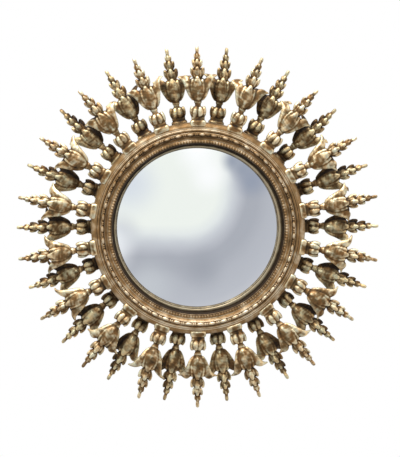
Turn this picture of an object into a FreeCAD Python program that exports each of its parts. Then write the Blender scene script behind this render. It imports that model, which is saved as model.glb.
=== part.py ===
import FreeCAD, Part
import math
import os

# Convex mirror in a sunburst frame: a domed silvered glass in a turned ring, with two rows of cast rays.
# Each ray is a stepped foot, a leafy knop, a tulip and an ear of pointed leaves.
# Millimetres. +Z is up, the mirror faces -Y, and the origin is where the mirror's axis meets the wall.

# Driving dimensions
FRONT_TIP_R = 325.0
REAR_TIP_R = 323.0
RAY_LENGTH = 141.5
RAY_COUNT = 18
RIM_R = 190.0
BEAD_R = 170.0
FLUTE_R = 154.0
SIGHT_R = 150.0
SLIP_R = 143.0
GLASS_R = 155.0
DOME_R = 650.0
GLASS_THICK = 3.0

# Depths, measured from the wall towards the front
FRONT_Y = -64.0
SLIP_FRONT_Y = -48.5
MOULDING_BACK_Y = -42.0
GLASS_EDGE_Y = -39.0
BOARD_FRONT_Y = -33.0
LEDGE_Y = -28.0
CORE_BACK_Y = -6.0
FRONT_RAY_Y = -51.5
FRONT_RAY_LEAN = 3.0
REAR_RAY_Y = -17.0

# The turned core ring, with the rear rays' feet scribed to its edge
FOOT_SCRIBE = 1.5
CORE_R = REAR_TIP_R - RAY_LENGTH + FOOT_SCRIBE
REBATE_R = 157.0
RECESS_R = 165.0
SCREW_CIRCLE_R = 172.5

# Tenons that hold the rays
TENON_HALF = 3.5
TENON_LENGTH = 10.0

# Fastenings and hanging hardware
CLIP_COUNT = 6
CLIP_SCREW_R = 161.0
RING_SCREW_COUNT = 6
PLATE_THICK = 1.5
HINGE_Y = -3.0
HINGE_Z = 164.5
WIRE_R = 1.4
WIRE_CLEARANCE = 0.05
HANGER_SCREW_X = 15.0
HANGER_SCREW_Z = 172.0
BUMPER_R = 7.0
BUMPER_ANGLES = (50.0, 130.0, 230.0, 310.0)

V = FreeCAD.Vector
AXIS = V(0, 1, 0)


def turned(outline):
    """A ring or disc turned about the mirror's axis.
    Each step of the outline is an end point (radius, y), or a pair of points, middle and end, for an arc."""
    edges = []
    here = outline[0]
    for step in outline[1:] + outline[:1]:
        if isinstance(step[0], tuple):
            middle, end = step
            edges.append(Part.Arc(V(*here, 0), V(*middle, 0), V(*end, 0)).toShape())
        else:
            end = step
            edges.append(Part.makeLine(V(*here, 0), V(*end, 0)))
        here = end
    return Part.Face(Part.Wire(edges)).revolve(V(0, 0, 0), AXIS, 360)


def spun(shape, degrees):
    """A copy of a shape, turned clockwise about the mirror's axis as seen from the front."""
    copy = shape.copy()
    copy.rotate(V(0, 0, 0), AXIS, degrees)
    return copy


def around(shape, count, first=0.0):
    """Copies of a shape at even steps round the mirror's axis."""
    return [spun(shape, first + i * 360.0 / count) for i in range(count)]


def box(x, y, z):
    """A block between the given (low, high) limits on each axis."""
    return Part.makeBox(x[1] - x[0], y[1] - y[0], z[1] - z[0], V(x[0], y[0], z[0]))


def rod(radius, y0, y1, z):
    """A round bar along the mirror's depth, at height z above the axis."""
    return Part.makeCylinder(radius, y1 - y0, V(0, y0, z), AXIS)


# The glass and what it lies against


def dome_y(radius, sphere_r):
    """Depth of the dome at a radius. Front and back of the glass are spheres about one centre."""
    centre = GLASS_EDGE_Y + math.sqrt(DOME_R**2 - GLASS_R**2)
    return centre - math.sqrt(sphere_r**2 - radius**2)


def convex_glass():
    """Slumped glass disc of even thickness with a ground edge: what a cylinder shares with a hollow ball."""
    centre = V(0, dome_y(0, DOME_R) + DOME_R, 0)
    blank = Part.makeCylinder(GLASS_R, -FRONT_Y, V(0, FRONT_Y, 0), AXIS)
    return blank.common(Part.makeSphere(DOME_R, centre)).cut(Part.makeSphere(DOME_R - GLASS_THICK, centre))


def slip_ring():
    """Bevelled inner ring that presses on the glass and hides its edge, with a flange behind the moulding."""
    gap = 0.1
    outer = SIGHT_R - 2 * gap
    flange_r = REBATE_R - 0.5
    return turned(
        [
            (SLIP_R, dome_y(SLIP_R, DOME_R) - gap),
            (SLIP_R + 0.4, SLIP_FRONT_Y + 1.5),
            (SLIP_R + 2.2, SLIP_FRONT_Y),
            (outer, SLIP_FRONT_Y + 1.2),
            (outer, MOULDING_BACK_Y),
            (flange_r, MOULDING_BACK_Y),
            (flange_r, GLASS_EDGE_Y - gap),
            (GLASS_R, GLASS_EDGE_Y - gap),
        ]
    )


def glass_cushion():
    """Felt strip between the back of the glass and the back board."""
    back_r = DOME_R - GLASS_THICK
    inner = GLASS_R - 5.0
    outer = GLASS_R + 0.5
    gap = 0.12
    return turned(
        [
            (inner, BOARD_FRONT_Y),
            (inner, dome_y(inner, back_r) + gap),
            (outer, dome_y(outer, back_r) + gap),
            (outer, BOARD_FRONT_Y),
        ]
    )


def back_board():
    """Plain hardboard disc that closes the rebate."""
    radius = REBATE_R - 1.0
    return turned([(0.0, BOARD_FRONT_Y), (radius, BOARD_FRONT_Y), (radius, LEDGE_Y), (0.0, LEDGE_Y)])


# The ring: ornamented front moulding on a plain core

FLUTE_WIDTH = 6.0
FLUTE_SEAT_Y = FRONT_Y + 7.0
BEAD_HALF = 3.1
BEAD_SEAT_Y = FRONT_Y + BEAD_HALF
FILLET_Y = FRONT_Y + 5.0
OVOLO_R = 8.0
OVOLO_TOP_R = RIM_R - OVOLO_R
OVOLO_TOP_Y = FRONT_Y + 6.0


def front_moulding_blank():
    """Turned front moulding. From the glass outwards: a sloping sight wall, a seat for the flutes, a hollow
    that rises to the seat of the beads, a fillet, and an ovolo down to the rim."""
    bend = OVOLO_R * math.sqrt(0.5)
    hollow_r = FLUTE_R + FLUTE_WIDTH + 0.4
    return turned(
        [
            (SIGHT_R, MOULDING_BACK_Y),
            (SIGHT_R, SLIP_FRONT_Y - 0.5),
            (FLUTE_R - 0.3, FLUTE_SEAT_Y),
            (hollow_r, FLUTE_SEAT_Y),
            (hollow_r + 3.0, FLUTE_SEAT_Y - 1.1),
            (hollow_r + 5.2, FLUTE_SEAT_Y - 3.0),
            (BEAD_R - 3.6, BEAD_SEAT_Y - 0.9),
            (BEAD_R - 3.6, BEAD_SEAT_Y),
            (BEAD_R + 3.8, BEAD_SEAT_Y),
            (BEAD_R + 4.6, FILLET_Y),
            (BEAD_R + 8.4, FILLET_Y),
            (BEAD_R + 8.8, FILLET_Y + 1.2),
            (OVOLO_TOP_R - 0.6, FILLET_Y + 1.2),
            (OVOLO_TOP_R, OVOLO_TOP_Y),
            (
                (OVOLO_TOP_R + bend, OVOLO_TOP_Y + OVOLO_R - bend),
                (RIM_R, OVOLO_TOP_Y + OVOLO_R),
            ),
            (RIM_R, MOULDING_BACK_Y),
        ]
    )


def flute_strip():
    """Pressed strip round the sight edge, which carries the fine flutes."""
    outer = FLUTE_R + FLUTE_WIDTH
    return turned(
        [
            (FLUTE_R, FLUTE_SEAT_Y),
            (FLUTE_R, FLUTE_SEAT_Y - 1.2),
            (FLUTE_R + 2.6, FLUTE_SEAT_Y - 2.8),
            (outer, FLUTE_SEAT_Y - 2.0),
            (outer, FLUTE_SEAT_Y),
        ]
    )


def bead_strip():
    """Pressed strip in its channel, bevelled towards a half round, which carries the bead and reel."""
    bevel = 1.3
    return turned(
        [
            (BEAD_R - BEAD_HALF, BEAD_SEAT_Y),
            (BEAD_R - BEAD_HALF + bevel, FRONT_Y),
            (BEAD_R + BEAD_HALF - bevel, FRONT_Y),
            (BEAD_R + BEAD_HALF, BEAD_SEAT_Y),
        ]
    )


def core_ring_blank():
    """Turned core ring, rebated from the back for the glass and its board."""
    return turned(
        [
            (REBATE_R, MOULDING_BACK_Y),
            (CORE_R, MOULDING_BACK_Y),
            (CORE_R, CORE_BACK_Y),
            (RECESS_R, CORE_BACK_Y),
            (RECESS_R, LEDGE_Y),
            (REBATE_R, LEDGE_Y),
        ]
    )


# The ray casting, made standing on the Z axis: heights run up from its foot, and its face is towards -Y.
# It comes from an open mould, so all of it above the foot has one flat back at BACK_Y.

PLINTH_DEEP = 8.5
BACK_Y = 5.0


def faceted(rings):
    """A solid with flat facets between rings of points that lie at rising heights.
    Facing edges of two rings are parallel, so each four-sided facet is flat."""
    count = len(rings[0])
    outlines = [rings[0], rings[-1]]
    for low, high in zip(rings, rings[1:]):
        for i in range(count):
            j = (i + 1) % count
            outlines.append([low[i], low[j], high[j], high[i]])
    faces = [Part.Face(Part.makePolygon(points + points[:1])) for points in outlines]
    solid = Part.Solid(Part.Shell(faces))
    if solid.Volume < 0:
        solid.reverse()
    return solid


def bevelled(sections):
    """A body whose sides slope in from the flat back to a flat face.
    A section is (height, half width, depth)."""
    slope = 0.45
    rings = []
    for height, half, deep in sections:
        flat = half - slope * deep
        corners = [(half, 0), (flat, deep), (-flat, deep), (-half, 0)]
        rings.append([V(x, BACK_Y - y, height) for x, y in corners])
    return faceted(rings)


def ridged(sections):
    """A leaf with a ridge down its face, which stands up from its base by a fixed share of its half width.
    A section is (height, sideways, base, half width), with the base measured forwards from the flat back."""
    ridge_share = 1.5
    rings = []
    for height, side, base, half in sections:
        corners = [(half, 0), (0, ridge_share * half), (-half, 0)]
        rings.append([V(side + x, BACK_Y - base - y, height) for x, y in corners])
    return faceted(rings)


def both_sides(sections):
    """A leaf and its mirror image across the ray."""
    other = [(height, -side, base, half) for height, side, base, half in sections]
    return [ridged(sections), ridged(other)]


def foot():
    """Square plinth with a smaller step on it."""
    half, high = 14.4, 10.5
    step_half, step_deep, step_high = 12.0, 6.8, 15.5
    plinth = box((-half, half), (-PLINTH_DEEP, PLINTH_DEEP), (0.0, high))
    return plinth.fuse(box((-step_half, step_half), (-step_deep, BACK_Y), (high, step_high)))


def knop():
    """Three lobes that swell above the step and draw in to the neck."""
    side = [(15.0, 4.6, 0.0, 5.0), (27.0, 9.0, 0.0, 5.2), (33.5, 10.8, 0.0, 1.8)]
    front = [(15.0, 0.0, 3.5, 5.4), (26.0, 0.0, 4.0, 6.4), (34.0, 0.0, 5.0, 3.4)]
    return [ridged(front), *both_sides(side)]


def tulip():
    """Neck and cup, a pointed drop down the cup's face, and two petals turned out at the sides."""
    cup = [
        (32.0, 5.0, 9.4),
        (41.5, 5.6, 10.0),
        (50.0, 11.2, 13.0),
        (64.0, 16.8, 15.4),
        (78.0, 19.0, 15.0),
        (85.0, 14.0, 11.4),
    ]
    drop = [(45.0, 0.0, 6.0, 2.6), (62.0, 0.0, 8.4, 7.0), (78.0, 0.0, 9.4, 3.6)]
    petal = [(48.0, 6.0, 0.0, 3.5), (66.0, 12.4, 0.0, 6.8), (80.0, 18.6, 0.0, 6.2), (89.0, 32.0, 0.0, 1.2)]
    return [bevelled(cup), ridged(drop), *both_sides(petal)]


def ear():
    """Tapering spike with two pairs of leaves."""
    spike = [(82.0, 7.4, 9.5), (112.0, 5.4, 9.0), (RAY_LENGTH, 2.2, 4.6)]
    low_leaf = [(84.0, 5.2, 0.0, 2.4), (99.0, 8.8, 0.0, 3.4), (109.0, 11.4, 0.0, 0.9)]
    high_leaf = [(107.0, 3.6, 0.0, 2.2), (118.5, 6.4, 0.0, 2.8), (127.5, 8.2, 0.0, 0.8)]
    return [bevelled(spike), *both_sides(low_leaf), *both_sides(high_leaf)]


def ray_casting():
    """One ray without its tenon, in one piece from foot to tip."""
    return foot().multiFuse(knop() + tulip() + ear()).removeSplitter()


def tenon(ring_r, y):
    """Square tenon under a ray's foot, from inside the ring up into the foot."""
    low = ring_r - TENON_LENGTH
    high = ring_r + TENON_HALF
    return box((-TENON_HALF, TENON_HALF), (y - TENON_HALF, y + TENON_HALF), (low, high))


def front_ray(casting):
    """The ray over the rim: it leans back a little, and its foot is scribed to the ovolo in three flats."""
    foot_r = FRONT_TIP_R - RAY_LENGTH
    ray = casting.copy()
    ray.translate(V(0, FRONT_RAY_Y, foot_r))
    ray.rotate(V(0, FRONT_RAY_Y, foot_r), V(1, 0, 0), -FRONT_RAY_LEAN)
    reach = OVOLO_R * math.tan(math.radians(22.5))
    inner = OVOLO_TOP_R - 10.0
    behind = MOULDING_BACK_Y + 5.0
    scribe = turned(
        [
            (inner, behind),
            (inner, OVOLO_TOP_Y),
            (OVOLO_TOP_R + reach, OVOLO_TOP_Y),
            (RIM_R, OVOLO_TOP_Y + OVOLO_R - reach),
            (RIM_R, behind),
        ]
    )
    return ray.cut(scribe)


def rear_ray(casting):
    """The ray behind the rim, square to the core ring, with its foot scribed to the core's edge."""
    ray = casting.copy()
    ray.translate(V(0, REAR_RAY_Y, REAR_TIP_R - RAY_LENGTH))
    return ray.cut(core_ring_blank())


# Fastenings


def countersunk_screw(head_r, shank_r, y_head, length, z):
    """Wood screw with its flat head at y_head, pointing towards the front."""
    head_deep = head_r - shank_r
    head = Part.makeCone(shank_r, head_r, head_deep, V(0, y_head - head_deep, z), AXIS)
    return head.fuse(rod(shank_r, y_head - length, y_head - head_deep, z))


def pan_screw(head_r, head_high, shank_r, y_seat, length, z):
    """Wood screw with a flat round head standing on y_seat."""
    return rod(head_r, y_seat, y_seat + head_high, z).fuse(rod(shank_r, y_seat - length, y_seat, z))


def board_clip():
    """Flat retaining plate that laps the back board from the ledge."""
    half, lap, gap = 5.0, 8.0, 0.6
    hole_r = 1.5
    inner = REBATE_R - 1.0 - lap
    plate = box((-half, half), (LEDGE_Y, LEDGE_Y + PLATE_THICK), (inner, RECESS_R - gap))
    return plate.cut(rod(hole_r, LEDGE_Y - PLATE_THICK, LEDGE_Y + 2 * PLATE_THICK, CLIP_SCREW_R))


def at_both(shape, x):
    """Two copies of a shape, moved sideways by x each way."""
    return [shape.translated(V(side * x, 0, 0)) for side in (-1, 1)]


def hanger_plate():
    """Two-hole plate on the core's back with a rolled eye along its lower edge."""
    half, eye_half, hole_r = 20.0, 5.5, 1.5
    low, high = HINGE_Z + 1.0, HINGE_Z + 14.0
    plate = box((-half, half), (CORE_BACK_Y, CORE_BACK_Y + PLATE_THICK), (low, high))
    eye = Part.makeCylinder(HINGE_Y - CORE_BACK_Y, 2 * eye_half, V(-eye_half, HINGE_Y, HINGE_Z), V(1, 0, 0))
    bore = Part.makeCylinder(WIRE_R + WIRE_CLEARANCE, 2 * half, V(-half, HINGE_Y, HINGE_Z), V(1, 0, 0))
    holes = at_both(rod(hole_r, CORE_BACK_Y - PLATE_THICK, HINGE_Y, HANGER_SCREW_Z), HANGER_SCREW_X)
    return plate.fuse(eye).cut([bore, *holes])


def hanger_ring():
    """Closed D-shaped wire ring, hanging from its straight bar."""
    half, corner, drop = 10.0, 3.0, 6.0
    low = half * math.sqrt(0.5)
    nick = corner * (1 - math.sqrt(0.5))

    def at(x, z):
        return V(x, HINGE_Y, HINGE_Z + z)

    edges = [
        Part.makeLine(at(0, 0), at(half - corner, 0)),
        Part.Arc(at(half - corner, 0), at(half - nick, -nick), at(half, -corner)).toShape(),
        Part.makeLine(at(half, -corner), at(half, -drop)),
        Part.Arc(at(half, -drop), at(low, -drop - low), at(0, -drop - half)).toShape(),
        Part.Arc(at(0, -drop - half), at(-low, -drop - low), at(-half, -drop)).toShape(),
        Part.makeLine(at(-half, -drop), at(-half, -corner)),
        Part.Arc(at(-half, -corner), at(nick - half, -nick), at(corner - half, 0)).toShape(),
        Part.makeLine(at(corner - half, 0), at(0, 0)),
    ]
    section = Part.Wire(Part.makeCircle(WIRE_R, at(0, 0), V(1, 0, 0)))
    return Part.Wire(edges).makePipeShell([section], True, False)


def build():
    """Every sub-part by name. A list of solids is a group of like fastenings in one node."""
    ray_step = 360.0 / RAY_COUNT
    casting = ray_casting()
    front_tenon = tenon(RIM_R, FRONT_RAY_Y + PLINTH_DEEP - TENON_HALF - 0.5)
    rear_tenon = tenon(CORE_R, REAR_RAY_Y)
    front = front_ray(casting).fuse(front_tenon).removeSplitter()
    rear = rear_ray(casting).fuse(rear_tenon).removeSplitter()

    ring_screw = countersunk_screw(4.0, 2.0, CORE_BACK_Y, 46.0, SCREW_CIRCLE_R)
    ring_screws = around(ring_screw, RING_SCREW_COUNT, ray_step)
    clips = around(board_clip(), CLIP_COUNT, 30.0)
    clip_screw = pan_screw(3.0, 1.8, 1.5, LEDGE_Y + PLATE_THICK, 12.0, CLIP_SCREW_R)
    clip_screws = around(clip_screw, CLIP_COUNT, 30.0)
    hanger_screw = pan_screw(3.0, 1.8, 1.5, CORE_BACK_Y + PLATE_THICK, 16.0, HANGER_SCREW_Z)
    hanger_screws = at_both(hanger_screw, HANGER_SCREW_X)
    bumper = rod(BUMPER_R, CORE_BACK_Y, 0.0, SCREW_CIRCLE_R)

    moulding_cuts = around(front_tenon, RAY_COUNT) + ring_screws
    core_cuts = around(rear_tenon, RAY_COUNT, ray_step / 2) + ring_screws + clip_screws + hanger_screws
    nodes = {
        "convex_glass": [convex_glass()],
        "slip_ring": [slip_ring()],
        "glass_cushion": [glass_cushion()],
        "back_board": [back_board()],
        "front_moulding": [front_moulding_blank().cut(moulding_cuts)],
        "flute_strip": [flute_strip()],
        "bead_strip": [bead_strip()],
        "core_ring": [core_ring_blank().cut(core_cuts)],
        "ring_screws": ring_screws,
        "board_clips": clips,
        "clip_screws": clip_screws,
        "hanger_plate": [hanger_plate()],
        "hanger_screws": hanger_screws,
        "hanger_ring": [hanger_ring()],
        "wall_bumpers": [spun(bumper, angle) for angle in BUMPER_ANGLES],
    }
    for i in range(RAY_COUNT):
        nodes[f"front_ray_{i + 1:02d}"] = [spun(front, ray_step * i)]
        nodes[f"rear_ray_{i + 1:02d}"] = [spun(rear, ray_step * (i + 0.5))]
    return nodes


os.makedirs("parts", exist_ok=True)
for name, shapes in build().items():
    solids = [solid for shape in shapes for solid in shape.Solids]
    for solid in solids:
        assert solid.isValid() and solid.Volume > 0, name
    result = solids[0] if len(solids) == 1 else Part.makeCompound(solids)
    result.exportStep(f"parts/{name}.step")
    print(name, len(solids), "solids", round(result.Volume / 1000, 2), "cm3")
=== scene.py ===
import math

import bmesh
import bpy
import numpy as np
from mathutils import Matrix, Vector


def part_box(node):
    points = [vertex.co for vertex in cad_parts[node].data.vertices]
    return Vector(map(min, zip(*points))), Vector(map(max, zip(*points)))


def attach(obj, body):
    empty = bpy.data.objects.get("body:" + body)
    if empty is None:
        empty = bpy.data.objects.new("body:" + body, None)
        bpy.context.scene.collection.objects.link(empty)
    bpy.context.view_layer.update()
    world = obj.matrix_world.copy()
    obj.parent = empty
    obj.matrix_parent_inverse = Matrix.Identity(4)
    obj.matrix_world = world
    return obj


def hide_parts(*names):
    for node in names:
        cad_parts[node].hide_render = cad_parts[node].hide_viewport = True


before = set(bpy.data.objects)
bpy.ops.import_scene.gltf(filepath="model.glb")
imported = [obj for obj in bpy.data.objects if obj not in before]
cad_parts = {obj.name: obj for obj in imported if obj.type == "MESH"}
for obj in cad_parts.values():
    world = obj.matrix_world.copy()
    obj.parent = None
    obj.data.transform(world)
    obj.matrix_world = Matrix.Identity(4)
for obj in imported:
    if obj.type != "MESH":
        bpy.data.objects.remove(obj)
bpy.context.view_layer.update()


# Core ring. A plain ring turned from board, rebated from the back for the glass and stained dark.
# It carries everything else; its edge and back show between the rays and from behind.

MM = 0.001


def half_width(node):
    """Half of a node's width, in millimetres: its radius, for a ring about the mirror's axis."""
    low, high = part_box(node)
    return (high.x - low.x) / 2 / MM


def depth_range(node):
    """A node's front and back, as depths in millimetres. Fronts are negative, the wall is 0."""
    low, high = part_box(node)
    return low.y / MM, high.y / MM


def quads(rows, columns, rows_close, columns_close):
    """Corner numbers of the faces of a grid. A direction that closes joins its last line to its first."""
    i = np.arange(rows if rows_close else rows - 1)
    j = np.arange(columns if columns_close else columns - 1)
    i, j = np.meshgrid(i, j, indexing="ij")
    i2 = (i + 1) % rows
    j2 = (j + 1) % columns
    corners = [i * columns + j, i2 * columns + j, i2 * columns + j2, i * columns + j2]
    return np.stack(corners, -1).reshape(-1, 4)


def enclosed(points, faces):
    """Signed volume inside a closed mesh: the sum of the tetrahedra from the origin to each face."""
    a, b, c, d = (points[faces[:, k]] for k in range(4))
    return np.einsum("ij,ij->", a, np.cross(b, c) + np.cross(c, d))


def lay(name, points, faces, wear_and_light):
    """A mesh object from points in millimetres and their wear and painted light, with poles closed and
    faces outwards.
    """
    if enclosed(points, faces) < 0:
        faces = faces[:, ::-1]
    mesh = bpy.data.meshes.new(name)
    mesh.vertices.add(len(points))
    mesh.vertices.foreach_set("co", (points * MM).astype(np.float32).ravel())
    mesh.loops.add(faces.size)
    mesh.loops.foreach_set("vertex_index", faces.astype(np.int32).ravel())
    mesh.polygons.add(len(faces))
    mesh.polygons.foreach_set("loop_start", np.arange(0, faces.size, 4, dtype=np.int32))
    mesh.polygons.foreach_set("use_smooth", np.ones(len(faces), bool))
    mark = mesh.attributes.new("wear_and_light", "FLOAT", "POINT")
    mark.data.foreach_set("value", wear_and_light.astype(np.float32))
    mesh.update()
    grid = bmesh.new()
    grid.from_mesh(mesh)
    bmesh.ops.remove_doubles(grid, verts=grid.verts, dist=1e-6)
    grid.to_mesh(mesh)
    grid.free()
    piece = bpy.data.objects.new(name, mesh)
    bpy.context.scene.collection.objects.link(piece)
    return piece


def eased(corners, steps=4):
    """A closed outline with its corners eased. A corner P is (radius, y, ease), and may go on with its wear
    and painted shade all round, then its painted light and shade at the top and at the foot of the ring. It
    becomes the curve (1-t)^2 A + 2t(1-t) P + t^2 B between points A and B at its ease from P. The outline's
    three values of wear and painted light come with it. To the first is added the sine of the corner's
    turn, which is above 0 on an arris."""
    corners = np.array([(*corner, 0.0, 0.0, 0.0)[:6] for corner in corners])
    place = corners[:, :2]
    before = np.roll(place, 1, 0) - place
    after = np.roll(place, -1, 0) - place
    long_before = np.linalg.norm(before, axis=1, keepdims=True)
    long_after = np.linalg.norm(after, axis=1, keepdims=True)
    largest_share = 0.48
    ease = np.minimum(corners[:, 2:3], largest_share * np.minimum(long_before, long_after))
    start = (place + before / long_before * ease)[:, None]
    end = (place + after / long_after * ease)[:, None]
    t = np.linspace(0, 1, steps)[None, :, None]
    curve = (1 - t) ** 2 * start + 2 * t * (1 - t) * place[:, None] + t**2 * end
    before, after = before / long_before, after / long_after
    turn = before[:, 1] * after[:, 0] - before[:, 0] * after[:, 1]
    wears_and_painted_light = np.stack([turn + corners[:, 3], corners[:, 4], corners[:, 5]])
    return curve.reshape(-1, 2), np.repeat(wears_and_painted_light, steps, axis=1)


def turned(outline, steps):
    """Points of an outline of (radius, y) carried round the mirror's axis:
    (radius sin a, y, radius cos a), with a row of points for each angle a."""
    angle = np.linspace(0, 2 * np.pi, steps, endpoint=False)[:, None]
    radius, depth = outline[None, :, 0], outline[None, :, 1]
    points = [radius * np.sin(angle), depth + 0 * angle, radius * np.cos(angle)]
    return np.stack(points, -1).reshape(-1, 3)


def turned_ring(name, corners, steps):
    """A turned ring from its corners, with the wear that its arrises and quirks take, and the painted light
    and shade that it takes at the top and at the foot of the ring by max(0, cos a) and max(0, -cos a)."""
    outline, (everywhere, painted_light_at_top, painted_light_at_foot) = eased(corners)
    high = np.cos(np.linspace(0, 2 * np.pi, steps, endpoint=False))[:, None]
    wear_and_light = everywhere + painted_light_at_top * np.maximum(high, 0) + painted_light_at_foot * np.maximum(-high, 0)
    return lay(name, turned(outline, steps), quads(steps, len(outline), True, True), wear_and_light.ravel())


class Tap:
    """A node's output. Arithmetic on it adds Math nodes."""

    def __init__(self, finish, socket):
        self.finish = finish
        self.socket = socket

    def math(self, operation, first, second, clamp=False):
        settings = {"operation": operation, "use_clamp": clamp}
        return self.finish.node("ShaderNodeMath", settings, {0: first, 1: second})

    def at_least(self, other):
        return self.math("MAXIMUM", self, other)

    def clamped(self):
        return self.math("MULTIPLY", self, 1.0, clamp=True)

    def __add__(self, other):
        return self.math("ADD", self, other)

    __radd__ = __add__

    def __mul__(self, other):
        return self.math("MULTIPLY", self, other)

    __rmul__ = __mul__

    def __sub__(self, other):
        return self.math("SUBTRACT", self, other)

    def __rsub__(self, other):
        return self.math("SUBTRACT", other, self)


class Finish:
    """The node tree of a material or the world, built by calls, with constants on its surface."""

    def __init__(self, owner, surface, constants):
        owner.use_nodes = True
        self.owner = owner
        self.tree = owner.node_tree
        self.surface = self.tree.nodes[surface]
        for socket, value in constants.items():
            self.surface.inputs[socket].default_value = value

    def node(self, kind, settings, sockets, output=0):
        """A node with its settings and its sockets' values or links, as the Tap of one output."""
        made = self.tree.nodes.new(kind)
        for key, value in settings.items():
            setattr(made, key, value)
        for key, value in sockets.items():
            if isinstance(value, Tap):
                self.tree.links.new(value.socket, made.inputs[key])
            else:
                made.inputs[key].default_value = value
        return Tap(self, made.outputs[output])

    def feed(self, socket, tap):
        """Links a Tap to a socket of the surface."""
        self.tree.links.new(tap.socket, self.surface.inputs[socket])

    def ramp(self, tone, *stops):
        """The colour of a tone on a ramp, whose stops are (place, colour)."""
        shade = self.node("ShaderNodeValToRGB", {}, {"Fac": tone})
        elements = shade.socket.node.color_ramp.elements
        while len(elements) < len(stops):
            elements.new(1.0)
        for element, (place, colour) in zip(elements, stops):
            element.position = place
            element.color = (*colour, 1.0)
        return shade

    def blend(self, share, first, second):
        """A colour between two others: the first where the share is 0, the second where it is 1."""
        return self.node("ShaderNodeMix", {"data_type": "RGBA"}, {0: share, 6: first, 7: second}, 2)

    def noise(self, scale, detail=3.0, rough=0.6, swirl=0.0):
        """Cloudy values about 0.5 in object coordinates, with clouds about 1/scale metres wide.
        The pattern is turned, so that its lattice lines up with nothing on the mirror."""
        place = self.node("ShaderNodeTexCoord", {}, {}, "Object")
        place = self.node("ShaderNodeMapping", {}, {"Vector": place, "Rotation": (0.5, 0.7, 0.4)})
        shape = {"Scale": scale, "Detail": detail, "Roughness": rough, "Distortion": swirl}
        return self.node("ShaderNodeTexNoise", {}, {"Vector": place, **shape}, "Fac")

    def bump(self, height, rise):
        """A bump of the surface by a height field, whose full swing is rise metres."""
        self.feed("Normal", self.node("ShaderNodeBump", {}, {"Height": height, "Distance": rise}))


def material(name, **constants):
    """A new Principled material. Constants are named as its sockets, with _ for a space."""
    named = {key.replace("_", " "): value for key, value in constants.items()}
    return Finish(bpy.data.materials.new(name), "Principled BSDF", named)


def paint(red, green, blue):
    """A display colour, 0 to 255, as the linear colour that a shader takes."""
    return tuple(((c / 255 + 0.055) / 1.055) ** 2.4 for c in (red, green, blue))


def stained_wood():
    """Dark stain on turned board: clouded, with a fine grain that the sheen picks up."""
    stain = material("stained_wood", Specular_IOR_Level=0.35)
    tone = stain.noise(45.0) * 0.7 + stain.noise(420.0) * 0.3
    stops = [(0.25, paint(34, 24, 17)), (0.55, paint(58, 42, 30)), (0.8, paint(86, 64, 46))]
    stain.feed("Base Color", stain.ramp(tone, *stops))
    stain.feed("Roughness", 0.75 - tone * 0.3)
    stain.bump(stain.noise(900.0, 2.0), 0.0004)
    return stain.owner


def dress(piece, finish, node):
    """Gives a new piece its finish, makes it ride on the mirror and stand for its CAD node."""
    piece.data.materials.append(finish)
    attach(piece, "mirror")
    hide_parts(node)


core_r = half_width("core_ring")
core_front_y, core_back_y = depth_range("core_ring")
rebate_r = 157.0
recess_r = 165.0
ledge_y = -28.0
core_corners = [
    (rebate_r, core_front_y, 0.3),
    (core_r, core_front_y, 0.3),
    (core_r, core_back_y, 1.2),
    (recess_r, core_back_y, 1.2),
    (recess_r, ledge_y, 0.4),
    (rebate_r, ledge_y, 0.4),
]
core = turned_ring("core_ring_stained", core_corners, 360)
dress(core, stained_wood(), "core_ring")


# Front moulding. Turned wood under bole and gold leaf, antiqued with umber that stays in the quirks.
# It is glued and screwed to the core, and has seats for two pressed ornament strips.

reddish = (1.12, 0.96, 0.80, 1.0)
greenish = (0.91, 1.04, 1.16, 1.0)


def gilding(name, low, middle, high, clouds=38.0, patches=0.6, gleam=0.8, level=0.47, hues=3.0):
    """Antiqued gilding. Wear with painted light and shade, and three sizes of cloud, place each point
    between umber, old gold and gold polished bright. In places the red bole under the leaf warms it, and in
    others the leaf is greenish."""
    leaf = material(name, Specular_IOR_Level=0.25, Specular_Tint=(1.0, 0.9, 0.76, 1.0))
    wear_and_light = leaf.node("ShaderNodeAttribute", {"attribute_name": "wear_and_light"}, {}, "Fac")
    broad = leaf.noise(clouds)
    patch = leaf.noise(clouds * 1.9, 1.2, 0.5, 0.35)
    fine = leaf.noise(420.0, 3.0, 0.65)
    clouded = (broad - 0.5) * 0.6 + (patch - 0.5) * patches + (fine - 0.5) * 0.16
    tone = (wear_and_light * 0.42 + level + clouded).clamped()
    between = tuple(0.5 * a + 0.5 * b for a, b in zip(low, middle))
    gilt = leaf.ramp(tone, (0.05, low), (0.34, between), (0.58, middle), (0.95, high))
    hue = ((leaf.noise(clouds * 2.3, 2.0, 0.5) - 0.5) * hues + 0.5).clamped()
    tint = leaf.blend(hue, reddish, greenish)
    tinted = leaf.node("ShaderNodeVectorMath", {"operation": "MULTIPLY"}, {0: gilt, 1: tint})
    leaf.feed("Base Color", tinted)
    leaf.feed("Metallic", tone * gleam)
    leaf.feed("Roughness", 0.62 - tone * 0.26)
    leaf.bump(patch * 0.6 + fine * 0.2, 0.001)
    return leaf.owner


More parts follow.
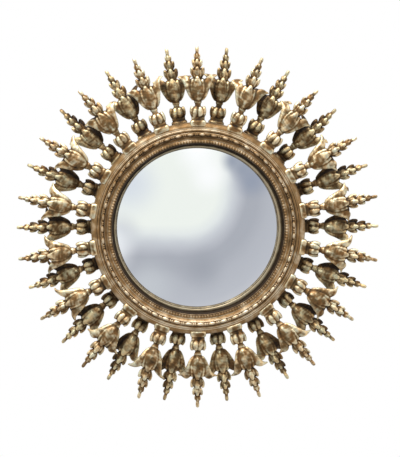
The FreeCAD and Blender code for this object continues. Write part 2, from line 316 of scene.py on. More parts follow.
ring_paints = [paint(38, 26, 16), paint(156, 122, 80), paint(229, 212, 183)]
ring_gilding = gilding("ring_gilding", *ring_paints, gleam=0.7, level=0.5, hues=1.0)
rim_r = half_width("front_moulding")
front_y = depth_range("bead_strip")[0]
moulding_back_y = depth_range("front_moulding")[1]
slip_front_y, slip_back_y = depth_range("slip_ring")
sight_r = 150.0
flute_r, flute_width = 154.0, 6.0
flute_y = front_y + 7.0
hollow_r = flute_r + flute_width + 0.4
bead_r, bead_half = 170.0, 3.1
channel_y = front_y + bead_half
fillet_y = front_y + 5.0
ovolo_r = 8.0
ovolo_y = front_y + 6.0 + ovolo_r
ovolo_corners = [
    (rim_r - ovolo_r * (1 - math.sin(a)), ovolo_y - ovolo_r * math.cos(a), 1.0, 0.1, -0.5 * a)
    for a in np.radians(np.arange(0, 91, 15))
]
# Besides umber in the quirks and wear on the arrises, the corners carry painted light and shade. The sight
# wall is near-black, as dark paint and as painted shade of the recess. The hollow, the bead channel and the
# fillet are painted lighter at the foot of the ring, and the fillet also at the top, as painted light; the
# hollow's outer side and the ovolo are painted darker at the top, as painted shade.
moulding_corners = [
    (sight_r, moulding_back_y, 0.3, -2.2),
    (sight_r, slip_front_y - 0.5, 1.0, -2.2),
    (flute_r - 1.0, flute_y + 2.0, 1.0, -2.0),
    (flute_r - 0.3, flute_y, 0.2, -0.6),
    (hollow_r, flute_y, 0.3),
    (hollow_r + 0.2, flute_y - 0.4, 0.2, -0.1, 0.1, 0.4),
    (hollow_r + 2.6, flute_y - 0.7, 1.4, 0.4, 0.2, 0.5),
    (hollow_r + 5.0, flute_y - 3.2, 1.0, 0.2, -0.5, 0.6),
    (bead_r - 3.6, channel_y - 0.9, 0.3, 0.1, -0.4, 0.9),
    (bead_r - 3.5, channel_y, 0.2, -0.2, 0.0, 1.0),
    (bead_r + 3.2, channel_y, 0.3, -0.4),
    (bead_r + 4.0, fillet_y + 0.8, 0.4, -0.5),
    (bead_r + 4.9, fillet_y + 0.2, 0.5, -0.3, 0.0, 0.2),
    (bead_r + 5.4, fillet_y, 0.4, -0.6, 0.2, 0.3),
    (bead_r + 8.6, fillet_y, 0.6, -0.6, 0.6, 0.8),
    (bead_r + 9.2, fillet_y + 0.9, 0.4, -0.2, 1.0, 1.2),
    (rim_r - ovolo_r - 1.0, fillet_y + 0.9, 0.5, 0.1, 0.7, 0.8),
    *ovolo_corners,
    (rim_r, moulding_back_y, 0.5),
]
moulding = turned_ring("front_moulding_gilt", moulding_corners, 720)
dress(moulding, ring_gilding, "front_moulding")


# Flute strip. Pressed composition round the sight edge, cut across by fine flutes.
# Each flute is a round-ended hollow about 5 mm from the next.

flute_count = 192


def flute_strip():
    """The strip's outline turned round the axis, with its face sunk by 0.7 |cos(n a / 2)|^0.8
    sin(pi s^0.7)^0.5 at the angle a and the share s of its width. Its inner edge is dark, as dark paint and
    as painted shade of the recess."""
    outer = flute_r + flute_width
    corners = [
        (flute_r, flute_y, 0.1),
        (flute_r, flute_y - 1.2, 0.3),
        (flute_r + 1.0, flute_y - 2.3, 0.8),
        (flute_r + 2.6, flute_y - 2.8, 1.0),
        (outer - 1.0, flute_y - 2.2, 0.8),
        (outer, flute_y - 1.4, 0.4),
        (outer, flute_y, 0.1),
    ]
    outline, (turn, _, _) = eased(corners, 6)
    steps = flute_count * 8
    points = turned(outline, steps).reshape(steps, -1, 3)
    angle = np.linspace(0, 2 * np.pi, steps, endpoint=False)[:, None]
    across = np.clip((outline[:, 0] - flute_r) / flute_width, 0, 1)[None]
    hollow = np.abs(np.cos(flute_count * angle / 2)) ** 0.8 * np.sin(np.pi * across**0.7) ** 0.5
    face = (outline[None, :, 1] < flute_y - 0.8).astype(float)
    points[..., 1] += 0.7 * hollow * face
    # Painted shade: the inner edge by the recess is darkened, with dark paint there as well.
    shade = 1.6 * np.clip((flute_r + 1.6 - outline[None, :, 0]) / 0.8, 0, 1)
    wear_and_light = turn[None] * 0.2 + (0.8 - 1.1 * hollow) * (1 - 0.6 * across) - shade
    faces = quads(steps, len(outline), True, True)
    return lay("flute_strip_gilt", points.reshape(-1, 3), faces, wear_and_light.ravel())


dress(flute_strip(), ring_gilding, "flute_strip")


# Bead strip. Pressed composition in a channel of the moulding: long beads with two thin reels after each.

bead_count = 51


def bead_strip():
    """A half-round strip whose radius goes as sqrt(1 - s^2) along a long bead and along each reel.
    Its crown is polished bright by wear, and it is painted lighter at the foot of the ring than at the top,
    as painted light from above."""
    bead_steps = 40
    steps = bead_count * bead_steps
    share = (np.arange(steps) % bead_steps + 0.5) / bead_steps
    long_bead = np.sqrt(np.clip(1 - ((share - 0.34) / 0.33) ** 2, 0, 1)) * bead_half
    reels = [np.sqrt(np.clip(1 - ((share - place) / 0.07) ** 2, 0, 1)) * 2.6 for place in (0.76, 0.91)]
    swell = np.maximum.reduce([long_bead, *reels, np.full(steps, 1.3)])[:, None]
    turn_steps = 13
    turn = np.linspace(0, np.pi, turn_steps)[None]
    radius = bead_r - swell * np.cos(turn)
    depth = channel_y + 0.2 - (swell + 0.2) * np.sin(turn)
    angle = np.linspace(0, 2 * np.pi, steps, endpoint=False)[:, None]
    points = np.stack([radius * np.sin(angle), depth, radius * np.cos(angle)], -1)
    wear_and_light = (swell / bead_half * 2.1 - 1.3) * np.sin(turn) ** 1.5 - 0.9 * (1 - np.sin(turn))
    # Painted light: the beads are lighter at the foot of the ring than at the top.
    wear_and_light = wear_and_light + 0.9 * np.maximum(-np.cos(angle), 0)
    faces = quads(steps, turn_steps, True, True)
    return lay("bead_strip_gilt", points.reshape(-1, 3), faces, wear_and_light.ravel())


dress(bead_strip(), ring_gilding, "bead_strip")


# Slip ring. A narrow turned ring with dull olive gilding, which lies on the glass and hides its edge.
# Its opening is a little aside of the ring's centre, as in the photo.

slip_paints = [paint(44, 35, 26), paint(108, 94, 72), paint(184, 170, 142)]
slip_gilding = gilding("slip_gilding", *slip_paints, gleam=0.4, hues=1.0)
slip_r = 144.0
slip_lip_y = -42.0
slip_aside = (-2.4, 0.4)
# The slip's edges are dark, its outer edge under the moulding near-black, as dark paint and as painted
# shade; at the foot of the ring its face is painted lighter, as painted light from above.
slip_corners = [
    (slip_r, slip_lip_y, 0.1),
    (slip_r + 0.4, slip_front_y + 1.5, 0.6, -1.0),
    (slip_r + 2.2, slip_front_y, 1.2, 0.4, 0.0, 0.6),
    (sight_r - 1.2, slip_front_y + 0.9, 0.4, -0.2, 0.0, 0.6),
    (sight_r - 0.2, slip_front_y + 1.2, 0.3, -1.4),
    (sight_r - 0.2, moulding_back_y, 0.4, -1.0),
    (half_width("slip_ring"), moulding_back_y, 0.2),
    (half_width("slip_ring"), slip_back_y, 0.2),
    (half_width("convex_glass"), slip_back_y, 0.2),
]


def off_centre(ring, inner_r, outer_r, aside):
    """Moves a ring's inner edge aside by (x, z) millimetres, and the rest by less, to none at outer_r."""
    points = np.empty(len(ring.data.vertices) * 3)
    ring.data.vertices.foreach_get("co", points)
    points = points.reshape(-1, 3)
    radius = np.hypot(points[:, 0], points[:, 2]) / MM
    share = np.clip((outer_r - radius) / (outer_r - inner_r), 0, 1)
    points[:, 0] += aside[0] * share * MM
    points[:, 2] += aside[1] * share * MM
    ring.data.vertices.foreach_set("co", points.ravel())
    return ring


slip = turned_ring("slip_ring_gilt", slip_corners, 540)
dress(off_centre(slip, slip_r, sight_r, slip_aside), slip_gilding, "slip_ring")


# Convex glass. A slumped disc of 3 mm glass, silvered on its hollow back and ground at the edge.
# Front and back are spheres about one centre.


def silvered_dome():
    """The dome, turned from an outline that runs from front pole to edge to back pole by
    y = centre - sqrt(R^2 - r^2)."""
    glass_r = half_width("convex_glass")
    apex_y = depth_range("convex_glass")[0]
    edge_y = -39.0
    thick = 3.0
    sphere_r = (glass_r**2 + (edge_y - apex_y) ** 2) / (2 * (edge_y - apex_y))
    centre_y = apex_y + sphere_r
    reach = np.sin(np.linspace(0, np.pi / 2, 60)) * glass_r
    front = np.stack([reach, centre_y - np.sqrt(sphere_r**2 - reach**2)], -1)
    back = np.stack([reach, centre_y - np.sqrt((sphere_r - thick) ** 2 - reach**2)], -1)[::-1]
    outline = np.concatenate([front, back])
    steps = 288
    points = turned(outline, steps)
    faces = quads(steps, len(outline), True, True)
    return lay("convex_glass_silvered", points, faces, np.zeros(len(points)))


def silvering():
    """Silver behind clear glass: a clean mirror with the faint unevenness of slumped glass."""
    silver = material("silvering", Metallic=1.0, Roughness=0.03, Base_Color=(0.86, 0.87, 0.87, 1.0))
    silver.bump(silver.noise(22.0, 1.0, 0.4), 0.00012)
    return silver.owner


dress(silvered_dome(), silvering(), "convex_glass")


# Behind the glass: a felt strip, a hardboard disc, and the steel plates and screws that hold it.


def felt():
    """Pressed black felt with a soft nap."""
    nap = material("felt", Roughness=0.95, Sheen_Weight=0.4, Specular_IOR_Level=0.2)
    nap.feed("Base Color", nap.ramp(nap.noise(700.0), (0.3, paint(22, 22, 23)), (0.75, paint(44, 43, 43))))
    nap.bump(nap.noise(1500.0), 0.0006)
    return nap.owner


def hardboard():
    """Brown hardboard: pressed fibres in fine flecks under a smooth, faintly glazed skin."""
    board = material("hardboard", Specular_IOR_Level=0.4)
    tone = board.noise(30.0) * 0.4 + board.noise(600.0, 5.0, 0.75) * 0.6
    stops = [(0.3, paint(84, 58, 38)), (0.5, paint(116, 82, 54)), (0.72, paint(150, 112, 78))]
    board.feed("Base Color", board.ramp(tone, *stops))
    board.feed("Roughness", 0.62 - tone * 0.25)
    board.bump(tone, 0.0003)
    return board.owner


def metal(name, dull, bright):
    """Plated metal with clouded plating and handling marks."""
    plate = material(name, Metallic=1.0)
    tone = plate.noise(90.0) * 0.5 + plate.noise(900.0, 4.0) * 0.5
    plate.feed("Base Color", plate.ramp(tone, (0.3, dull), (0.7, bright)))
    plate.feed("Roughness", 0.5 - tone * 0.3)
    plate.bump(tone, 0.0001)
    return plate.owner


def coat(finish, *nodes):
    """Gives CAD nodes that keep their own shape a finish."""
    for node in nodes:
        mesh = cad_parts[node].data
        mesh.materials.clear()
        mesh.materials.append(finish)


coat(felt(), "glass_cushion")
coat(hardboard(), "back_board")
zinc = metal("zinc_plate", paint(128, 126, 120), paint(196, 194, 186))
coat(zinc, "board_clips", "clip_screws", "ring_screws")


# Hanging hardware. A brass-plated two-hole plate with a rolled eye, and the wire ring that swings in it.

brass = metal("brass_plate", paint(130, 100, 52), paint(204, 172, 104))
coat(brass, "hanger_plate", "hanger_screws", "hanger_ring")


# Wall bumpers. Soft rubber studs that keep the back of the ring off the wall.


def rubber():
    """Soft black rubber, dusty in places."""
    gum = material("rubber", Specular_IOR_Level=0.3)
    gum.feed("Base Color", gum.ramp(gum.noise(260.0), (0.4, paint(24, 24, 25)), (0.75, paint(58, 57, 56))))
    gum.feed("Roughness", 0.6 + gum.noise(500.0) * 0.3)
    gum.bump(gum.noise(1100.0), 0.0002)
    return gum.owner


coat(rubber(), "wall_bumpers")


# Ray casting. Every ray comes from one mould: foot, leafy knop, tulip and ear, cast in resin in one piece.
# It is modelled upright: heights run up from the foot, its face is forward, and its back is flat.

ray_long = 141.5


def bezier(controls, t):
    """Points at t on the Bezier curve of the controls: the sum of binomial(n, k) t^k (1-t)^(n-k) P_k."""
    last = len(controls) - 1
    weights = [math.comb(last, k) * t**k * (1 - t) ** (last - k) for k in range(last + 1)]
    return np.stack(weights, -1) @ np.array(controls, float)


def limb(spine, widths, depths, fold=0.0):
    """A closed form along a Bezier spine of (sideways, forward, height) points.
    At t its section is spine + S w cos(a) + F (d sin(a) + fold w |cos a|), where S is the sideways
    direction made square to the spine, and F is square to both, forwards.
    Widths and depths are Bezier curves as well, and shrink to nothing at both ends."""
    rows, columns = 44, 28
    t = np.linspace(0, 1, rows)
    middle = bezier(spine, t)
    along = np.gradient(middle, axis=0)
    along /= np.linalg.norm(along, axis=1, keepdims=True)
    across = np.array([1.0, 0.0, 0.0]) - along * along[:, :1]
    across /= np.linalg.norm(across, axis=1, keepdims=True)
    forward = np.cross(across, along)
    forward *= np.where(forward[:, 1:2] < 0, -1.0, 1.0)
    wide = bezier([[w] for w in widths], t)
    deep = bezier([[d] for d in depths], t)
    ends = np.minimum(1, np.minimum(t, 1 - t) * 40)[:, None]
    a = np.linspace(0, 2 * np.pi, columns, endpoint=False)[None]
    sideways = wide * np.cos(a) * ends
    frontways = (deep * np.sin(a) + fold * wide * np.abs(np.cos(a))) * ends
    section = across[:, None] * sideways[..., None] + forward[:, None] * frontways[..., None]
    points = middle[:, None] + section
    return points.reshape(-1, 3), quads(rows, columns, False, True)


def block(bands, squareness=5.0):
    """A foot or cup with sections |x/w|^n + |y/d|^n = 1, where n is the squareness.
    Each band is (height, w, d, how far forward its middle is)."""
    columns = 40
    bands = np.array(bands, float)
    number = np.arange(len(bands))
    t = np.linspace(0, len(bands) - 1, len(bands) * 6)
    height, wide, deep, forward = (np.interp(t, number, bands[:, k])[:, None] for k in range(4))
    a = np.linspace(0, 2 * np.pi, columns, endpoint=False)[None]
    x = wide * np.sign(np.cos(a)) * np.abs(np.cos(a)) ** (2 / squareness)
    y = forward + deep * np.sign(np.sin(a)) * np.abs(np.sin(a)) ** (2 / squareness)
    points = np.stack([x, y, height + 0 * a], -1).reshape(-1, 3)
    return points, quads(len(t), columns, False, True)


def pair(spine, *rest):
    """A limb and its mirror image across the ray."""
    other = [(-x, y, z) for x, y, z in spine]
    return [limb(spine, *rest), limb(other, *rest)]


def foot_forms():
    """Square plinth with eased edges that tapers a little, and the step on it."""
    plinth = [
        (0, 0, 0, 0),
        (0, 13.8, 8.3, 0),
        (3, 14.4, 8.5, 0),
        (8.6, 14.0, 8.2, 0),
        (10.5, 12.4, 7.2, 0),
        (10.5, 0, 0, 0),
    ]
    step = [
        (9, 0, 0, 0),
        (9, 11.2, 6.2, 0),
        (12, 11.4, 6.6, 0),
        (15.0, 12.2, 6.8, 0),
        (16.5, 10.4, 6, 0),
        (16.5, 0, 0, 0),
    ]
    return [block(plinth), block(step, 4.0)]


def knop_forms():
    """A blocky knop of rounded lobes, two before and one at each side, drawn in to the neck."""
    core = [
        (14, 0, 0, 0.3),
        (14, 9.8, 5.5, 0.3),
        (19, 11.2, 6.6, 0.3),
        (28, 12.2, 7.6, 0.3),
        (32.5, 10.4, 6.4, 0.3),
        (35.5, 5.4, 5, 0.3),
        (37, 0, 0, 0.3),
    ]
    forms = [block(core, 3.6)]
    side = [(8.6, 1, 16), (11.4, 3, 20), (11.6, 3, 30), (9.6, 2, 35)]
    forms += pair(side, [2.0, 3.8, 4.6, 2.4], [1.8, 5.0, 5.6, 2.4])
    left = [(-5.5, 5, 15.5), (-6.4, 8.0, 21), (-4.8, 8.8, 27), (-2.8, 6, 35)]
    right = [(2.0, 5, 16.5), (4.2, 8.2, 20), (5.6, 8.6, 28), (2.4, 6.5, 34.5)]
    forms.append(limb(left, [2.4, 5.0, 5.6, 2.2], [1.6, 2.6, 2.8, 1.6]))
    forms.append(limb(right, [2.8, 4.8, 5.8, 2.0], [1.6, 2.6, 3.0, 1.6]))
    return forms


def tulip_forms():
    """Neck and bell-shaped cup, two petals turned out square to the ray, each with a raised vein,
    and in front a leaf with a midrib, two ribs and a web of gold between it and the petals."""
    cup = [
        (31, 0, 0, 0.5),
        (31, 5.6, 4.8, 0.5),
        (36, 5.0, 4.5, 0.5),
        (40.4, 5.3, 4.9, 0.5),
        (41.4, 6.6, 5.6, 0.5),
        (43.2, 6.6, 5.6, 0.5),
        (44.4, 6.4, 5.3, 0.5),
        (48, 9.8, 6.6, 0.5),
        (53, 13.0, 8.4, 0.5),
        (60, 15.6, 10.0, 0.5),
        (68, 18.0, 10.2, 0.5),
        (76, 19.0, 9.2, 0.5),
        (82, 15.0, 7.0, 0.5),
        (86, 8.0, 4.6, 0.5),
        (88, 0, 0, 0.5),
    ]
    forms = [block(cup, 2.2)]
    petal = [(6.4, 2, 45.5), (14.2, 5, 55.5), (12.8, 5.4, 78), (19, 3, 86.5), (36, -2.5, 87.5)]
    forms += pair(petal, [1.8, 7.4, 9.6, 8.8, 1.0], [1.6, 4.8, 5.4, 3.8, 1.2], 0.1)
    vein = [(7.4, 5, 48), (17, 8, 57), (16.6, 9, 77), (22, 6.4, 83), (33, 1, 87)]
    forms += pair(vein, [0.8, 2.4, 2.6, 2.2, 0.8], [0.6, 1.2, 1.2, 1.0, 0.6])
    leaf = [(0, 4, 45), (0.4, 8.8, 53), (-0.4, 9.8, 70), (0, 8.8, 89)]
    forms.append(limb(leaf, [3.4, 12.2, 12.8, 2.0], [2.4, 4.0, 4.4, 2.0]))
    web = [(4, 4.6, 48), (10.6, 8.6, 57), (10.4, 9.4, 74), (8, 7, 84)]
    forms += pair(web, [2.0, 3.6, 3.8, 2.0], [1.6, 2.4, 2.6, 1.6])
    rib = [(2.4, 6, 47), (8.0, 9.6, 56), (7.4, 10.4, 72), (1.6, 11, 84)]
    forms += pair(rib, [1.2, 3.0, 3.0, 0.9], [1.0, 1.9, 1.9, 0.8])
    midrib = [(0.4, 7, 47), (0, 11.2, 58), (1.2, 11.8, 70), (0, 10.4, 87)]
    forms.append(limb(midrib, [3.4, 2.8, 1.6, 1.6], [2.2, 1.9, 1.3, 1.0]))
    return forms


def ear_tier(low, tall, out, wide):
    """One tier of blunt leaves that hug the ear: one at each side, one in front and one in each quarter."""
    side = [
        (2, 0.5, low),
        (0.84 * out, 1.5, low + 0.16 * tall),
        (0.74 * out, 2, low + 0.64 * tall),
        (1.04 * out, 1, low + 0.94 * tall),
    ]
    front = [
        (0, 2.5, low),
        (0, 0.7 * out, low + 0.2 * tall),
        (0, 0.78 * out, low + 0.65 * tall),
        (0, 0.8 * out, low + tall),
    ]
    quarter = [
        (0.5 * (side_x + front_x), 0.58 * (side_y + front_y), height - 0.24 * tall)
        for (side_x, side_y, height), (front_x, front_y, _) in zip(side, front)
    ]
    widths = [0.4 * wide, 1.0 * wide, 1.4 * wide, 0.42 * wide]
    depths = [0.4 * wide, 0.8 * wide, 1.0 * wide, 0.4 * wide]
    forms = pair(side, widths, depths)
    forms.append(limb(front, widths, depths))
    forms += pair(quarter, [0.7 * w for w in widths], [0.8 * d for d in depths])
    return forms


def ear_forms():
    """The spike of the ear with its three tiers of leaves, and the bud at its tip."""
    spike = [(0, 0.5, 76), (0, 1, 98), (0, 1, 118), (0, 0.5, 139)]
    forms = [limb(spike, [6.0, 6.0, 5.0, 1.6], [4.4, 5.0, 4.0, 1.4])]
    forms += ear_tier(85, 20.5, 10.6, 4.4) + ear_tier(103, 16, 7.8, 3.4) + ear_tier(117, 11, 4.6, 2.2)
    bud = [(0, 1, 126), (0.8, 1.6, 131), (-0.4, 1.6, 137), (0.4, 1.2, 141.0)]
    forms.append(limb(bud, [1.0, 3.8, 4.0, 2.0], [1.0, 3.0, 3.2, 1.6]))
    return forms


def fused(forms, grain):
    """The forms as one closed mesh, remeshed in cubes of the given grain in millimetres."""
    starts = np.cumsum([0] + [len(points) for points, _ in forms[:-1]])
    points = np.concatenate([points for points, _ in forms])
    faces = np.concatenate([faces + start for (_, faces), start in zip(forms, starts)])
    rough = lay("ray_pattern", points, faces, np.zeros(len(points)))
    remesh = rough.modifiers.new("skin", "REMESH")
    remesh.mode = "VOXEL"
    remesh.voxel_size = grain * MM
    depsgraph = bpy.context.evaluated_depsgraph_get()
    skin = bpy.data.meshes.new_from_object(rough.evaluated_get(depsgraph))
    bpy.data.objects.remove(rough)
    return skin


def neighbours_mean(values, edges, count):
    """The mean of each point's neighbours' values, over the mesh's edges."""
    total = np.zeros((count, values.shape[1]))
    number = np.zeros(count)
    for a, b in (edges.T, edges.T[::-1]):
        total += np.stack([np.bincount(a, values[b, k], count) for k in range(values.shape[1])], -1)
        number += np.bincount(a, minlength=count)
    return total / np.maximum(number, 1)[:, None]


def uneven(points):
    """How far the carver's hand moved each point: fractions of a millimetre, as the sum of twelve waves
    sin(k . P + phase), each with a push of its own."""
    carver = np.random.default_rng(18)
    waves = 12
    moved = np.zeros_like(points)
    for _ in range(waves):
        wave = carver.normal(0, 0.42, 3)
        push = carver.normal(0, 0.05, 3)
        moved += np.sin(points @ wave + carver.uniform(0, 2 * np.pi))[:, None] * push
    return moved


def finish_casting(skin):
    """Softens the skin, makes it uneven and flattens its back. Gives its points in millimetres and their
    wear and painted light: how far a point stands out of its surroundings, (P - mean P) . normal, over a
    small and a wide ring of neighbours, with painted light on what is forward and painted shade on what
    faces sideways or back, which is partly dark antiquing on the casting's sides."""
    count = len(skin.vertices)
    points = np.empty(count * 3)
    skin.vertices.foreach_get("co", points)
    points = points.reshape(-1, 3) / MM
    edges = np.empty(len(skin.edges) * 2, np.int32)
    skin.edges.foreach_get("vertices", edges)
    edges = edges.reshape(-1, 2)
    for _ in range(2):
        points = 0.5 * points + 0.5 * neighbours_mean(points, edges, count)
    points += uneven(points) * np.clip((points[:, 2:] - 8) / 10, 0, 1)
    foot_high, back = 16.5, -5.0
    above_foot = points[:, 2] > foot_high
    points[above_foot, 1] = np.maximum(points[above_foot, 1], back)
    skin.vertices.foreach_set("co", (points * MM).ravel())
    skin.update()
    normals = np.empty(count * 3)
    skin.vertices.foreach_get("normal", normals)
    normals = normals.reshape(-1, 3)
    mean = points
    wear_and_light = np.zeros(count)
    for ring, weight in ((6, 1.1), (24, 0.8)):
        for _ in range(ring):
            mean = neighbours_mean(mean, edges, count)
        wear_and_light += weight * np.einsum("ij,ij->i", points - mean, normals)
    # Painted light and shade: parts further forward lighter, parts further back darker.
    wear_and_light = np.clip(wear_and_light, -1.3, 1.3) + 0.25 * np.clip((points[:, 1] - 2) / 8, -1, 1)
    # Sides that face away from the front are darkened: partly dark antiquing, partly painted shade.
    wear_and_light -= 2.4 * np.clip(0.45 - normals[:, 1], 0, 0.7)
    wear_and_light *= np.interp(points[:, 2], [12, 18, 84, 96], [1.0, 0.8, 0.8, 0.7])
    return points, wear_and_light


grain = 0.88
casting = fused(foot_forms() + knop_forms() + tulip_forms() + ear_forms(), grain)
casting_points, casting_wear_and_light = finish_casting(casting)
mark = casting.attributes.new("wear_and_light", "FLOAT", "POINT")
mark.data.foreach_set("value", casting_wear_and_light.astype(np.float32))
casting.polygons.foreach_set("use_smooth", np.ones(len(casting.polygons), bool))


# Front rays. Eighteen castings over the rim. Each leans back a little, and no two are chased quite alike.
# Their flanks are painted lighter, most on the flank that faces up, as painted light, and their feet a
# little darker, as painted shade by the rim.

front_paints = [paint(42, 29, 18), paint(133, 103, 66), paint(231, 215, 179)]
front_gilding = gilding("front_gilding", *front_paints, clouds=48.0, patches=1.2, level=0.46)
chaser = np.random.default_rng(36)


def chased(points, hand):
    """The casting's points after hand finishing, for six random numbers from -1 to 1: the ray tips sideways
    and twists about its height, its ear bends by h^2, and each petal's tip lifts or droops by s^2."""
    tip_over, ear_bend, twist, left_lift, right_lift, tip_reach = hand
    x, y, z = points.T
    above = np.clip((z - 70) / 70, 0, 1)
    turn = 0.07 * twist * np.clip((z - 35) / 60, 0, 1)
    x, y = x * np.cos(turn) - y * np.sin(turn), x * np.sin(turn) + y * np.cos(turn)
    petal_high = np.clip((z - 60) / 12, 0, 1) * np.clip((98 - z) / 6, 0, 1)
    petal = np.clip((np.abs(x) - 15) / 14, 0, 1) ** 2 * petal_high
    lift = np.where(x < 0, left_lift, right_lift) * 6.0 * petal
    z = z + lift + 0.8 * tip_reach * above
    y = y - 2.5 * petal
    x = x + 0.018 * tip_over * z + 3.2 * ear_bend * above**2
    return np.stack([x, y, z], -1)


def placed(points, foot_r, foot_y, lean, angle):
    """Upright points, stood on the mirror's top, leant back about the foot and turned clockwise about
    the mirror's axis. Lean and angle are in degrees."""
    x, forward, height = points.T
    lean, angle = math.radians(lean), math.radians(angle)
    y = foot_y - forward * math.cos(lean) + height * math.sin(lean)
    z = foot_r + height * math.cos(lean) + forward * math.sin(lean)
    turned_x = x * math.cos(angle) + z * math.sin(angle)
    turned_z = z * math.cos(angle) - x * math.sin(angle)
    return np.stack([turned_x, y, turned_z], -1)


def set_ray(name, node, slot, finish, foot_r, foot_y, lean, angle, flank_painted_shade, foot_painted_shade):
    """One ray: a chased copy of the casting, in its place. Painted shade lies by the foot, as the rim's
    shadow, and on the flanks beyond the half-width of the middle, most on the flank that faces up, as the
    shadow of the row in front. A flank shade below 0 is painted light instead."""
    mesh = casting.copy()
    mesh.name = name
    shaped = chased(casting_points, chaser.uniform(-1, 1, 6))
    points = placed(shaped, foot_r, foot_y, lean, angle) * MM
    mesh.vertices.foreach_set("co", points.astype(np.float32).ravel())
    turn = math.radians(angle)
    upwards = -shaped[:, 0] * math.sin(turn) * abs(math.sin(turn)) ** 0.5
    heights = [14, 18, 30, 42, 52, 66, 84, 90, 141]
    half_widths = [8, 6, 6, 2, 6, 8, 6, 4, 1]
    # Half-width of the middle that is kept free of painted light and shade.
    unshaded_half = np.interp(shaped[:, 2], heights, half_widths)
    flank = np.clip((np.abs(shaped[:, 0]) - unshaded_half) / 5, 0, 1)
    # Painted shadow on the flanks, most on the upward one, and painted shade by the foot; below 0, painted
    # light.
    painted_shade = flank_painted_shade * flank * np.clip(0.3 + 0.9 * upwards / 9, 0, 1.2)
    painted_shade += foot_painted_shade * np.clip((22 - shaped[:, 2]) / 8, 0, 1)
    wear_and_light = (casting_wear_and_light - painted_shade).astype(np.float32)
    mesh.attributes["wear_and_light"].data.foreach_set("value", wear_and_light)
    mesh.update()
    piece = bpy.data.objects.new(name, mesh)
    bpy.context.scene.collection.objects.link(piece)
    dress(piece, finish, node)


ray_count = 18
ray_step = 360.0 / ray_count
front_tip_r = 325.0
front_row = {
    "foot_r": front_tip_r - ray_long,
    "foot_y": -51.5,
    "lean": 3.0,
    "flank_painted_shade": -0.25,
    "foot_painted_shade": 0.2,
}
for i in range(ray_count):
    node = f"front_ray_{i + 1:02d}"
    set_ray(f"{node}_gilt", node, "front_gilding", front_gilding, angle=ray_step * i, **front_row)


# Rear rays. The same castings behind the rim, square to the core. Their gilding is darker, partly darker
# antiquing and partly painted shade, and their flanks and feet carry painted shadow of the front row and
# the rim.

rear_paints = [paint(35, 23, 16), paint(124, 97, 63), paint(224, 205, 162)]
rear_gilding = gilding("rear_gilding", *rear_paints, clouds=48.0, patches=1.2, level=0.54)
rear_tip_r = 323.0
rear_row = {
    "foot_r": rear_tip_r - ray_long,
    "foot_y": -17.0,
    "lean": 0.0,
    "flank_painted_shade": 1.3,
    "foot_painted_shade": 0.65,
}
for i in range(ray_count):
    node = f"rear_ray_{i + 1:02d}"
    set_ray(f"{node}_gilt", node, "rear_gilding", rear_gilding, angle=ray_step * (i + 0.5), **rear_row)


# Stage. A pale floor, a white studio and a long lens a little above and to the left of the mirror's axis.


def floor():
    """A pale floor, well below the mirror and too small for the glass to show its edge."""
    half, low = 0.75, -1.0
    corners = [(-half, -half, low), (half, -half, low), (half, half, low), (-half, half, low)]
    mesh = bpy.data.meshes.new("floor")
    mesh.from_pydata(corners, [], [(0, 1, 2, 3)])
    pale = material("pale_floor", Roughness=0.8, Base_Color=(0.86, 0.86, 0.86, 1.0))
    mesh.materials.append(pale.owner)
    piece = bpy.data.objects.new("floor", mesh)
    bpy.context.scene.collection.objects.link(piece)


def lamp(name, place, aim, size, power):
    """A square softbox at a place, turned to its aim."""
    light = bpy.data.lights.new(name, "AREA")
    light.size = size
    light.energy = power
    piece = bpy.data.objects.new(name, light)
    piece.location = place
    piece.rotation_euler = look(place, aim)
    bpy.context.scene.collection.objects.link(piece)


def look(place, aim):
    """The turn of a lamp or camera at a place that faces its aim with its top upwards."""
    x, y, z = (b - a for a, b in zip(place, aim))
    flat = math.hypot(x, y)
    return (math.pi / 2 + math.atan2(z, flat), 0.0, math.atan2(y, x) - math.pi / 2)


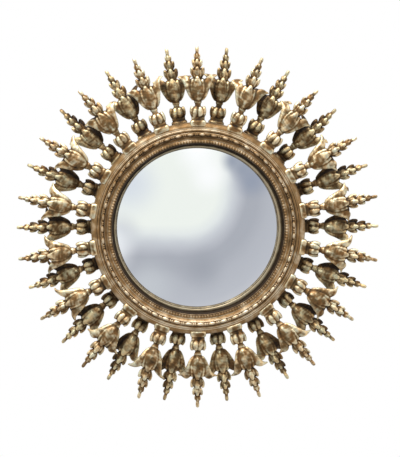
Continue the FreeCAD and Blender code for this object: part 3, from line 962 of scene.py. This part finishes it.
def studio():
    """The world: white to the camera, a soft room to what reflects, and even light to all else.
    The room is pale ahead of the mirror, above and to the left. It falls to grey with the distance
    sqrt(right^2 + below^2) from that quarter, and is pale again at the sides and overhead.
    On it lie soft round spots, each with its middle, its reach and its colour."""
    world = bpy.data.worlds.new("studio")
    bpy.context.scene.world = world
    room = Finish(world, "Background", {"Strength": 1.0})
    way = room.node("ShaderNodeTexCoord", {}, {}, "Generated")
    flat = room.node("ShaderNodeVectorMath", {"operation": "MULTIPLY"}, {0: way, 1: (1.0, 0.0, 1.0)})
    x = room.node("ShaderNodeSeparateXYZ", {}, {"Vector": way}, "X")
    z = room.node("ShaderNodeSeparateXYZ", {}, {"Vector": way}, "Z")
    right = (x + 0.05).at_least(0.0)
    below = (0.08 - z).at_least(0.0) * 0.93
    corner = room.node("ShaderNodeCombineXYZ", {}, {"X": right, "Y": below})
    apart = room.node("ShaderNodeVectorMath", {"operation": "LENGTH"}, {0: corner}, "Value")
    stops = [
        (0.18, (0.99, 1.03, 0.98)),
        (0.23, (0.89, 0.93, 0.93)),
        (0.275, (0.69, 0.72, 0.77)),
        (0.315, (0.57, 0.59, 0.65)),
        (0.355, (0.47, 0.49, 0.55)),
        (0.41, (0.47, 0.49, 0.55)),
        (0.48, (0.53, 0.55, 0.61)),
        (0.58, (0.57, 0.59, 0.65)),
        (0.92, (1.05, 1.04, 1.02)),
    ]
    walls = room.ramp(apart, *stops)
    spots = [
        ((0.08, 0.0, 0.17), 0.15, (1.12, 1.13, 1.14, 1.0)),
        ((0.02, 0.0, 0.31), 0.18, (1.14, 1.15, 1.16, 1.0)),
        ((-0.38, 0.0, 0.12), 0.24, (0.79, 0.84, 0.92, 1.0)),
        ((0.22, 0.0, 0.25), 0.09, (0.38, 0.42, 0.51, 1.0)),
        ((0.28, 0.0, 0.20), 0.10, (0.37, 0.41, 0.50, 1.0)),
        ((0.33, 0.0, 0.13), 0.13, (0.36, 0.40, 0.50, 1.0)),
        ((-0.42, 0.0, -0.17), 0.16, (0.72, 0.75, 0.80, 1.0)),
        ((0.04, 0.0, -0.36), 0.16, (0.42, 0.44, 0.50, 1.0)),
        ((-0.25, 0.0, -0.46), 0.20, (0.62, 0.65, 0.70, 1.0)),
        ((-0.52, 0.0, -0.27), 0.22, (1.15, 1.17, 1.20, 1.0)),
    ]
    for middle, reach, colour in spots:
        off = room.node("ShaderNodeVectorMath", {"operation": "DISTANCE"}, {0: flat, 1: middle}, "Value")
        smooth = {"interpolation_type": "SMOOTHSTEP"}
        share = room.node("ShaderNodeMapRange", smooth, {"Value": off, 1: reach, 2: 0.0})
        walls = room.blend(share, walls, colour)
    height = room.node("ShaderNodeMapRange", {}, {"Value": z, 1: 0.3, 2: 0.8})
    overhead = (2.2, 2.17, 2.1, 1.0)
    room_colour = room.blend(height, walls, overhead)
    camera = room.node("ShaderNodeLightPath", {}, {}, "Is Camera Ray")
    glossy = room.node("ShaderNodeLightPath", {}, {}, "Is Glossy Ray")
    even = (0.32, 0.32, 0.32, 1.0)
    white = (1.0, 1.0, 1.0, 1.0)
    room.feed("Color", room.blend(camera, room.blend(glossy, even, room_colour), white))


def camera():
    """A long lens 5 m off. Its scale and aim put the front rays' tips where the photograph has them."""
    distance = 5.0
    azimuth, elevation = math.radians(-1.2), math.radians(8.1)
    frame_high, frame_wide = 457, 400
    tips_centre = (198.08, 228.4)
    pixels_per_metre = 562.6
    middle = np.array([0, -0.044, 0])
    level = math.cos(elevation)
    back = np.array([math.sin(azimuth) * level, -math.cos(azimuth) * level, math.sin(elevation)])
    lens = bpy.data.cameras.new("camera")
    lens.sensor_width = 36.0
    lens.lens = lens.sensor_width * distance * pixels_per_metre / frame_high
    lens.shift_x = (frame_wide / 2 - tips_centre[0]) / frame_high
    lens.shift_y = (tips_centre[1] - frame_high / 2) / frame_high
    piece = bpy.data.objects.new("camera", lens)
    piece.location = middle + distance * back
    piece.rotation_euler = look(piece.location, middle)
    bpy.context.scene.collection.objects.link(piece)
    bpy.context.scene.camera = piece


floor()
studio()
lamp("key", (-0.6, -1.7, 1.8), (0, 0, 0), 0.5, 30.0)
lamp("top", (0.3, -0.5, 2.2), (0, 0, 0), 0.8, 14.0)
camera()
bpy.context.scene.view_settings.view_transform = "Standard"
